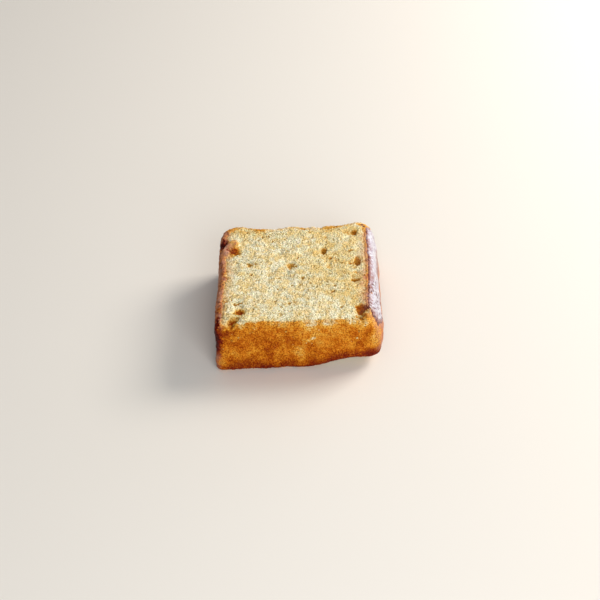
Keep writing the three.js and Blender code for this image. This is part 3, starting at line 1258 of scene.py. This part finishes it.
@dataclass
class Glaze:
    """The sugar glaze on the loaf's top: a film with a ragged lower edge and pinholes."""

    solid: PackedSolid
    finish: GlazeFinish = GlazeFinish()
    cover: str = "cover"  # attribute that notes how well a point is covered, until the film is made
    columns: int = 64
    rows: int = 18
    splits: int = 3
    ends: tuple[float, float] = (math.radians(-44.5), math.radians(50.0))  # directions from the middle
    lower: float = 0.47  # where its edges run on the wall, as shares from rim to rim
    upper: float = 1.0
    thick: float = 0.25
    sunk: float = 1.0  # how far the film's back lies in the crust
    under: float = 0.5  # how far its face lies in the crust where no glaze shows
    fade_lower: float = 0.4  # shares of the film over which it thins out towards its edges
    fade_upper: float = 0.2
    upper_cover: float = 0.3  # cover that is left where the knife cut through the film
    fade_ends: float = 0.1
    breaks: tuple[Relief, ...] = (Relief(0.55, 5.0, 33.0), Relief(0.3, 1.7, 71.0), Relief(0.2, 0.8, 55.0))
    shows: tuple[float, float] = (0.03, 0.2)  # cover between which the film comes out of the crust
    thinnest: float = 0.74  # how thin it gets at its edges, short of a pinhole
    rounds: int = 6
    # Places where the film has worn thin
    worn: tuple[Mark, ...] = (
        Mark((39.6, 10.0, 15.0), (3.2, 20.0, 13.0), depth=0.85, edge=0.5),
        Mark((40.0, -12.0, 13.0), (2.6, 16.0, 12.0), depth=0.8, edge=0.5),
        Mark((38.5, -32.0, 13.0), (5.0, 10.0, 11.0), depth=1.2),
    )
    pinholes: Bubbles = Bubbles(1.3, 0.95, (0.34, 0.62), 0.18, 90.0)
    pitted: tuple[float, float] = (0.55, 0.25)  # shares of its length between which the pinholes start
    drawn_down: float = 0.6  # pinholes are this much shorter across than down the side
    hole_full: float = 0.1  # depth from which the crust shows through a pinhole

    def build(self) -> bpy.types.Object:
        """Builds and dresses the glaze.

        Returns:
            The glaze.
        """
        shape = self._sheet()
        self._wear(shape)
        return add_piece(shape, "sugar_glaze", self.finish.material())

    def _sheet(self) -> bmesh.types.BMesh:
        """Makes a closed sheet on the loaf's top, and notes how well each point of it is covered.

        Returns:
            The sheet, with a cover below 0 on its back.
        """
        shape = bmesh.new()
        bmesh.ops.create_grid(shape, x_segments=self.columns, y_segments=self.rows, size=1.0)
        cover = shape.verts.layers.float.new(self.cover)
        for vert in shape.verts:
            along = (vert.co.x + 1.0) / 2.0
            upward = (vert.co.y + 1.0) / 2.0
            vert[cover] = min(
                upward / self.fade_lower,
                mix(self.upper_cover, 1.0, (1.0 - upward) / self.fade_upper),
                along / self.fade_ends,
                (1.0 - along) / self.fade_ends,
                1.0,
            )
            vert.co = self.solid.wall_point(mix(*self.ends, along), mix(self.lower, self.upper, upward))
        bmesh.ops.recalc_face_normals(shape, faces=shape.faces)
        shape.normal_update()
        front, back = add_back(shape, self.sunk)
        for vert in back:
            vert[cover] = -1.0
        split(shape, front, self.splits)
        soften(shape, [vert for vert in shape.verts if vert[cover] > 0.0], self.rounds)
        return shape

    def _wear(self, shape: bmesh.types.BMesh) -> None:
        """Lets the film run off, wear thin and open in pinholes.

        Args:
            shape: The sheet.
        """
        thin = shape.verts.layers.float.new(Layer.THIN.value)
        cover = shape.verts.layers.float[self.cover]
        moves = []
        for vert in shape.verts:
            across = Vector((vert.co.x, vert.co.y, vert.co.z * self.drawn_down))
            along = (angle_of(vert.co) - self.ends[0]) / (self.ends[1] - self.ends[0])
            hole = self.pinholes.depth(across, vert.normal) * smooth(along, *self.pitted)
            worn = sum(mark.depth * mark.share(vert.co) ** mark.edge for mark in self.worn)
            covered = (vert[cover] - worn) * (1.0 + sum(relief.at(vert.co) for relief in self.breaks))
            film = mix(-self.under, self.thick, smooth(covered, *self.shows))
            vert[thin] = max(min(1.0 - covered, self.thinnest), min(hole / self.hole_full, 1.0))
            moves.append(vert.normal * (film - hole) if vert[cover] >= 0.0 else Vector())
        shape.verts.layers.float.remove(cover)
        shift(shape, moves)


@dataclass
class LooseCrumbs:
    """Crumbs that the knife tore off and left on the slice."""

    crumb: Crumb
    crust: Crust
    finish: BakedFinish = BakedFinish("loose_cake_crumbs")
    seed: int = 12
    columns: int = 8  # cells round and down one crumb
    rows: int = 5
    width: tuple[float, float] = (0.3, 1.1)
    small: int = 3  # the higher it is, the more of them are small
    stretch: tuple[tuple[float, float], ...] = ((0.8, 1.3), (0.7, 1.0), (0.6, 0.9))  # along each axis
    rough: float = 0.5  # how much its lumps change a crumb's width
    lumps: float = 4.0  # how many lumps there are across a crumb
    variety: float = 50.0  # how far apart in the lumps' pattern two crumbs can lie
    sunk: float = 0.25  # share of a crumb's width that is sunk
    clear: float = 5.0  # how far outside the slice a reading starts
    on_cut: int = 280  # places that are tried on the upper cut
    cut_level: float = 0.5  # how level a place is where a crumb stays
    cut_browning: tuple[float, float] = (0.0, 0.1)  # how much darker than the cut a crumb is
    on_wall: int = 40  # places that are tried on the front wall
    wall_share: float = 0.9  # of the wall's length that has crumbs
    wall_drop: float = 3.0  # least distance below the rim
    wall_spread: float = 7.0  # how far down from there most of them lie
    wall_foot: float = 2.0  # height below which there are none
    wall_browning: tuple[float, float] = (0.1, 0.45)

    def build(self) -> bpy.types.Object:
        """Builds and dresses the crumbs.

        Returns:
            All the crumbs as one piece.
        """
        draws = random.Random(self.seed)
        shape = bmesh.new()
        browning = shape.verts.layers.float.new(Layer.BROWNING.value)
        shape.verts.layers.float.new(Layer.PORE.value)
        for place, normal, baked in self._places(draws):
            width = mix(*self.width, draws.random() ** self.small)
            made = bmesh.ops.create_uvsphere(
                shape, u_segments=self.columns, v_segments=self.rows, radius=HALF
            )["verts"]
            turn = Matrix.Rotation(draws.uniform(0.0, math.tau), 3, "Z")
            stretch = Vector([draws.uniform(*limits) for limits in self.stretch])
            offset = Vector([draws.uniform(0.0, self.variety) for _ in self.stretch])
            for vert in made:
                rough = 1.0 + self.rough * noise.noise(vert.co * self.lumps + offset)
                vert.co = turn @ (vert.co * stretch) * rough * width
                vert.co += place + normal * width * (HALF - self.sunk)
                vert[browning] = baked
        return add_piece(shape, "loose_crumbs", self.finish.material())

    def _places(self, draws: random.Random) -> list[tuple[Vector, Vector, float]]:
        """Draws where crumbs lie.

        Args:
            draws: The seeded draws.

        Returns:
            For each crumb its place, the surface's direction there and how browned it is.
        """
        solid = self.crumb.solid
        bake = self.crumb.surface.bake
        places = []
        for _ in range(self.on_cut):
            angle = draws.uniform(-math.pi, math.pi)
            reach, _ = solid.rim(Cut.UPPER, angle)
            spot = heading(angle) * reach * math.sqrt(draws.random())
            hit, normal, _, _ = self.crumb.skin.ray_cast(spot + UP * (solid.high.z + self.clear), -UP)
            if hit is None or normal.z < self.cut_level:
                continue
            stain, dent = bake.marked(hit)
            if dent <= 0.0:
                baked = bake.cut_edge(hit) + stain
                places.append((hit, normal, baked + draws.uniform(*self.cut_browning)))
        for _ in range(self.on_wall):
            x = draws.uniform(solid.low.x, solid.high.x) * self.wall_share
            z = solid.high.z - self.wall_drop - abs(draws.gauss(0.0, self.wall_spread))
            start = Vector((x, solid.low.y - self.clear, z))
            hit, normal, _, _ = self.crust.skin.ray_cast(start, Vector((0.0, 1.0, 0.0)))
            if hit is not None and hit.z > self.wall_foot:
                places.append((hit, normal, draws.uniform(*self.wall_browning)))
        return places


@dataclass(frozen=True)
class Softbox:
    """A square light that faces the slice."""

    name: str
    place: tuple[float, float, float]
    width: float
    power: float  # in watts
    colour: str

    def build(self) -> None:
        """Hangs the light."""
        lamp = bpy.data.lights.new(self.name, "AREA")
        lamp.size = self.width * MM
        lamp.energy = self.power
        lamp.color = linear(self.colour)[:3]
        holder = bpy.data.objects.new(self.name, lamp)
        holder.location = Vector(self.place) * MM
        holder.rotation_euler = Vector(self.place).to_track_quat("Z", "Y").to_euler()
        bpy.context.scene.collection.objects.link(holder)


@dataclass
class Studio:
    """Pale floor, soft light and the camera, none of them part of the slice."""

    floor_half: float = 3000.0
    floor_cells: int = 8
    floor_colour: str = "#ece9e3"
    floor_roughness: float = 0.7
    lights: tuple[Softbox, ...] = (
        Softbox("key_softbox", (620.0, 330.0, 520.0), 400.0, 6.5, "#fff6ea"),
        Softbox("front_fill", (200.0, -800.0, 480.0), 600.0, 5.1, WHITE),
        Softbox("glaze_softbox", (420.0, 520.0, 120.0), 300.0, 0.7, "#f2f0ff"),
    )
    ambient: float = 0.3
    eye: tuple[float, float, float] = (0.43, -609.5, 535.0)
    elevation: float = math.radians(40.7)
    roll: float = math.radians(-1.5)
    lens: float = 99.0
    sensor: float = 36.0
    nearest: float = 10.0  # distance from which the camera sees

    def build(self) -> None:
        """Sets up floor, lights, world and camera."""
        self._floor()
        for light in self.lights:
            light.build()
        self._world()
        self._camera()
        bpy.context.scene.view_settings.view_transform = "Standard"

    def _floor(self) -> None:
        """Lays a plain pale floor, painted matte."""
        cells = self.floor_cells
        shape = bmesh.new()
        bmesh.ops.create_grid(shape, x_segments=cells, y_segments=cells, size=self.floor_half * MM)
        mesh = bpy.data.meshes.new("floor")
        shape.to_mesh(mesh)
        shape.free()
        material = new_material("matte_floor_paint")
        tree = material.node_tree
        finish = {"Base Color": linear(self.floor_colour), "Roughness": self.floor_roughness}
        shader = add_node(tree, "BsdfPrincipled", "BSDF", finish)
        add_node(tree, "OutputMaterial", "", {"Surface": shader})
        mesh.materials.append(material)
        floor = bpy.data.objects.new("floor", mesh)
        bpy.context.scene.collection.objects.link(floor)

    def _world(self) -> None:
        """Fills the room with even light."""
        world = bpy.data.worlds.new("studio")
        world.use_nodes = True
        background = world.node_tree.nodes["Background"]
        background.inputs["Strength"].default_value = self.ambient
        background.inputs["Color"].default_value = linear(WHITE)
        bpy.context.scene.world = world

    def _camera(self) -> None:
        """Sets the camera where the photograph was taken from."""
        view = Vector((0.0, math.cos(self.elevation), -math.sin(self.elevation)))
        right = Vector((1.0, 0.0, 0.0))
        top = right.cross(view)
        across = right * math.cos(self.roll) + top * math.sin(self.roll)
        upward = top * math.cos(self.roll) - right * math.sin(self.roll)
        data = bpy.data.cameras.new("camera")
        data.lens = self.lens
        data.sensor_width = self.sensor
        data.clip_start = self.nearest * MM
        camera = bpy.data.objects.new("camera", data)
        turn = Matrix((across, upward, -view)).transposed().to_4x4()
        camera.matrix_world = Matrix.Translation(Vector(self.eye) * MM) @ turn
        bpy.context.scene.collection.objects.link(camera)
        bpy.context.scene.camera = camera


def main() -> None:
    """Builds the slice and its studio."""
    logging.basicConfig(level=logging.INFO, format="%(message)s")
    solid = PackedSolid()
    surface = CakeSurface(Bake(solid))
    crumb = Crumb(solid, surface)
    crust = Crust(solid, surface)
    crumb.build()
    crust.build()
    Glaze(solid).build()
    LooseCrumbs(crumb, crust).build()
    Studio().build()


if __name__ == "__main__":
    main()
